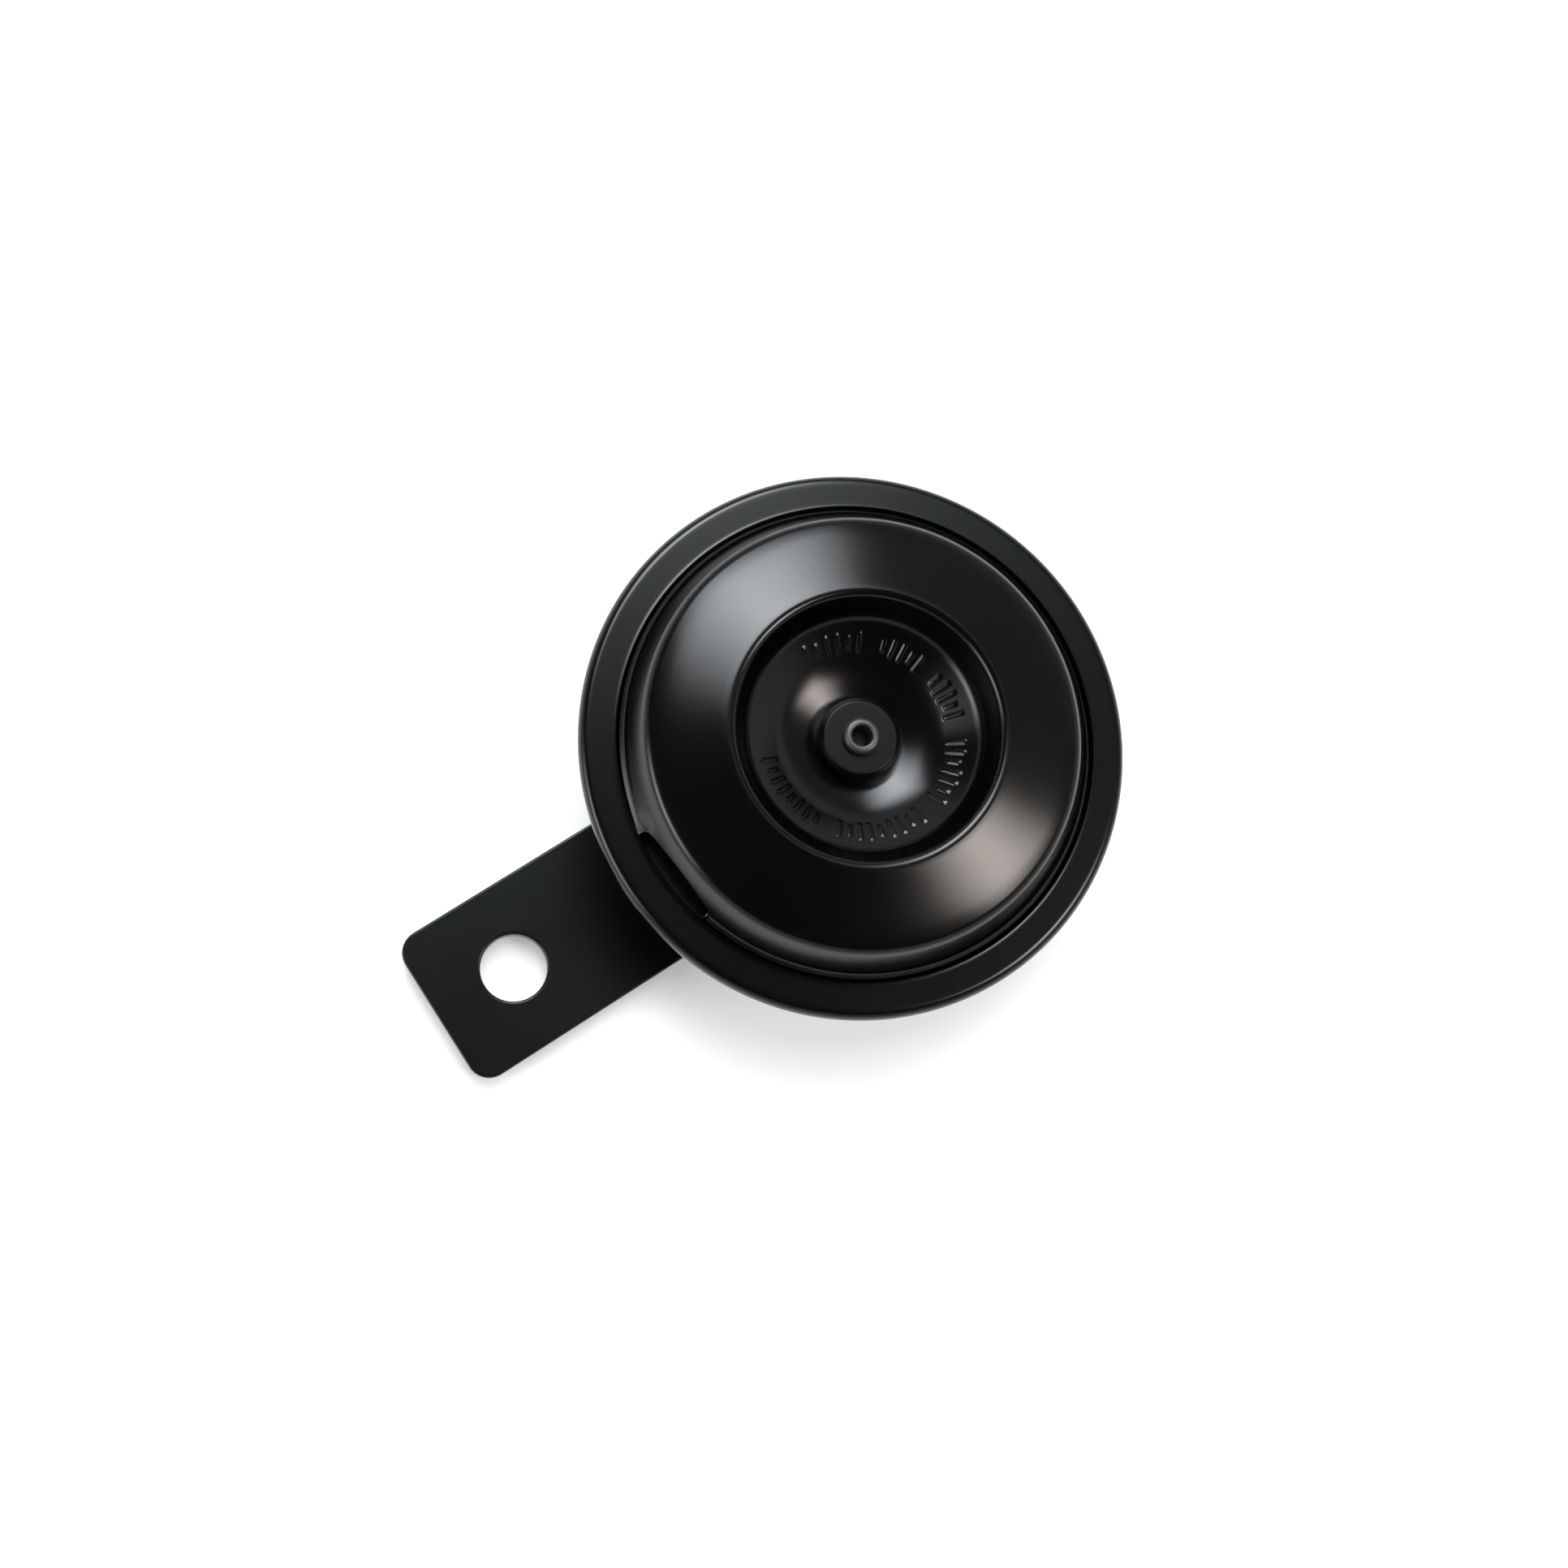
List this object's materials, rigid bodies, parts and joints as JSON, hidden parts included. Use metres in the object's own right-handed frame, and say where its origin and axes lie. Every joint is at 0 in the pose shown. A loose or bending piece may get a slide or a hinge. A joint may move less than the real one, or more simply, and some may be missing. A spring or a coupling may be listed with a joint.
{
  "type": "car horn",
  "caption": "Electric disc horn: a crimped round body with a dished sounding disc on a flat strap for one bolt.",
  "frame": {"origin": "centre of the strap's hole, on the strap's underside", "axes": "+Z out of the horn's front, +X from the strap's hole to the horn's own axis"},
  "size_m": [0.0965, 0.07, 0.0333],
  "materials": {
    "black_paint": "black stoving paint, satin gloss",
    "dark_washer": "blackened steel, matt, bright at the bevel",
    "soft_steel": "turned mild steel, bare",
    "zinc_steel": "bright zinc plate",
    "spring_steel": "blued spring sheet",
    "gasket_paper": "oiled brown gasket paper",
    "bobbin_nylon": "moulded black nylon",
    "copper_wire": "enamelled copper wire",
    "board": "laminated phenolic board, brown",
    "contact_brass": "rolled brass strip",
    "tungsten": "ground tungsten",
    "tinned_brass": "tin-plated brass",
    "lead_sleeve": "varnished sleeve, dark red"
  },
  "bodies": {
    "root": {"tone_disc": "black_paint", "tone_disc_washer": "dark_washer", "armature": "soft_steel", "crimp_ring": "black_paint", "front_gasket": "gasket_paper", "diaphragm": "spring_steel", "rear_gasket": "gasket_paper", "spacer_washer": "soft_steel", "rear_housing": "black_paint", "pole_core": "soft_steel", "coil_bobbin": "bobbin_nylon", "coil_winding": "copper_wire", "yoke_plate": "soft_steel", "fixed_contact_strip": "contact_brass", "moving_contact_leaf": "contact_brass", "contact_points": "tungsten", "contact_insulators": "board", "contact_rivets": "zinc_steel", "adjusting_screw": "zinc_steel", "adjusting_nut": "zinc_steel", "terminal_inner_plate": "board", "terminal_plate": "board", "terminal_blades": "tinned_brass", "terminal_rivets": "zinc_steel", "coil_leads": "lead_sleeve", "lock_washer": "zinc_steel", "stud_nut": "zinc_steel", "strap_bracket": "black_paint"}
  },
  "joints": []
}
